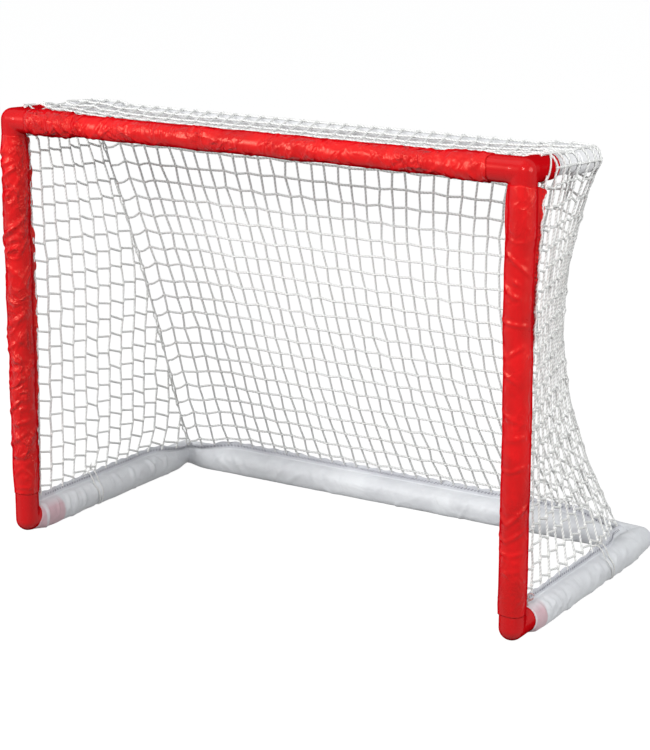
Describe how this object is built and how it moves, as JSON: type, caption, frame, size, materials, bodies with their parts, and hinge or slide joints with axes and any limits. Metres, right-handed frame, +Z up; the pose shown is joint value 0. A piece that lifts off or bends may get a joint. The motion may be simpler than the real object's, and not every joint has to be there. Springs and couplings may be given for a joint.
{
  "type": "mini hockey goal",
  "caption": "Small free-standing hockey goal: push-fit plastic tube frame in red and white nylon sleeves, with a cord net over its back, sides and top.",
  "frame": {"origin": "on the floor, at the middle of the goal's width and of its depth", "axes": "+X along the crossbar, the goal's longest extent; the open mouth faces -Y; +Z up"},
  "size_m": [0.8246, 0.4283, 0.6122],
  "materials": {
    "red_plastic": "smooth glossy moulded",
    "white_plastic": "smooth semi-gloss moulded",
    "red_nylon": "rumpled glossy coated nylon",
    "white_nylon": "thin milky nylon",
    "net_cord": "knotted white cord",
    "string": "white tie string"
  },
  "bodies": {
    "root": {"base_rear_elbow_left": "white_plastic", "base_rear_elbow_right": "white_plastic", "base_rear_tube": "white_plastic", "base_side_tube_left": "white_plastic", "base_side_tube_right": "white_plastic", "base_sleeve_left": "white_nylon", "base_sleeve_rear": "white_nylon", "base_sleeve_right": "white_nylon", "base_tie_left": "string", "base_tie_right": "string", "crossbar_sleeve": "red_nylon", "crossbar_tube": "red_plastic", "foot_elbow_left": "red_plastic", "foot_elbow_right": "red_plastic", "foot_ring_left": "string", "foot_ring_right": "string", "net_back": "net_cord", "net_left": "net_cord", "net_right": "net_cord", "net_top": "net_cord", "post_sleeve_left": "red_nylon", "post_sleeve_right": "red_nylon", "post_tube_left": "red_plastic", "post_tube_right": "red_plastic", "seam_cord_left": "net_cord", "seam_cord_right": "net_cord", "top_corner_left": "red_plastic", "top_corner_right": "red_plastic", "top_rear_elbow_left": "white_plastic", "top_rear_elbow_right": "white_plastic", "top_rear_tube": "white_plastic", "top_side_tube_left": "white_plastic", "top_side_tube_right": "white_plastic", "top_tie_left": "string", "top_tie_right": "string"}
  },
  "joints": []
}
